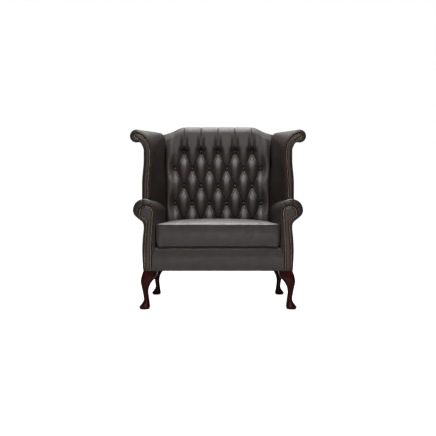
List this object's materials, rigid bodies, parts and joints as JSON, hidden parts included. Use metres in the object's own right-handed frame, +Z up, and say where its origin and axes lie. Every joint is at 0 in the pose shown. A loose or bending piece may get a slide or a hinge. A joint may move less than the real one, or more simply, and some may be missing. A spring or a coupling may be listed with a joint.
{
  "type": "cuddle chair",
  "caption": "High-backed wing chair for one and a half, with a deep-buttoned back, scroll arms with studded facings, a loose seat cushion and cabriole legs.",
  "frame": {"origin": "on the floor under the middle of the chair", "axes": "+X to the right as seen from the front, across the seat; +Y from the front to the back; +Z up"},
  "size_m": [1.0496, 0.86, 1.11],
  "materials": {
    "leather": "satin",
    "cushion_leather": "satin",
    "button_leather": "satin",
    "mahogany": "gloss",
    "frame_timber": "matte",
    "foam": "matte",
    "webbing": "matte",
    "platform_cloth": "matte",
    "dust_cloth": "matte",
    "zip_tape": "matte",
    "zip_metal": "satin",
    "stud_brass": "satin",
    "glide_nylon": "matte",
    "bolt_steel": "satin"
  },
  "bodies": {
    "chair": {"arm_facing_left": "leather", "arm_facing_right": "leather", "arm_padding_left": "foam", "arm_padding_right": "foam", "arm_rail_left": "frame_timber", "arm_rail_right": "frame_timber", "arm_scroll_board_left": "frame_timber", "arm_scroll_board_right": "frame_timber", "arm_studs_left": "stud_brass", "arm_studs_right": "stud_brass", "arm_tack_rail_left": "frame_timber", "arm_tack_rail_right": "frame_timber", "back_buttons": "button_leather", "back_lower_rail": "frame_timber", "back_padding": "foam", "back_post_left": "frame_timber", "back_post_right": "frame_timber", "back_top_rail": "frame_timber", "back_webbing": "webbing", "corner_blocks": "frame_timber", "dust_cover": "dust_cloth", "foot_glides": "glide_nylon", "front_border": "leather", "front_leg_left": "mahogany", "front_leg_right": "mahogany", "front_seat_rail": "frame_timber", "inside_arm_cover_left": "leather", "inside_arm_cover_right": "leather", "inside_back": "leather", "inside_wing_cover_left": "leather", "inside_wing_cover_right": "leather", "leg_bolts": "bolt_steel", "outside_arm_cover_left": "leather", "outside_arm_cover_right": "leather", "outside_back_cover": "leather", "outside_wing_cover_left": "leather", "outside_wing_cover_right": "leather", "rear_leg_left": "mahogany", "rear_leg_right": "mahogany", "rear_seat_rail": "frame_timber", "seat_platform": "platform_cloth", "seat_webbing": "webbing", "side_seat_rail_left": "frame_timber", "side_seat_rail_right": "frame_timber", "wing_facing_left": "leather", "wing_facing_right": "leather", "wing_padding_left": "foam", "wing_padding_right": "foam", "wing_rail_left": "frame_timber", "wing_rail_right": "frame_timber", "wing_scroll_board_left": "frame_timber", "wing_scroll_board_right": "frame_timber", "wing_studs_left": "stud_brass", "wing_studs_right": "stud_brass"},
    "seat_cushion": {"seat_cushion_cover": "cushion_leather", "seat_cushion_filling": "foam", "cushion_zip_tape": "zip_tape"},
    "zip_slider": {"cushion_zip_slider": "zip_metal"}
  },
  "joints": [
    {"name": "cushion_lift_out", "type": "slide", "parent": "chair", "child": "seat_cushion", "axis": [0, -0.8, 0.6], "range_m": [0, 0.8]},
    {"name": "zip_run", "type": "slide", "parent": "seat_cushion", "child": "zip_slider", "axis": [1, 0, 0], "range_m": [0, 0.46]}
  ]
}
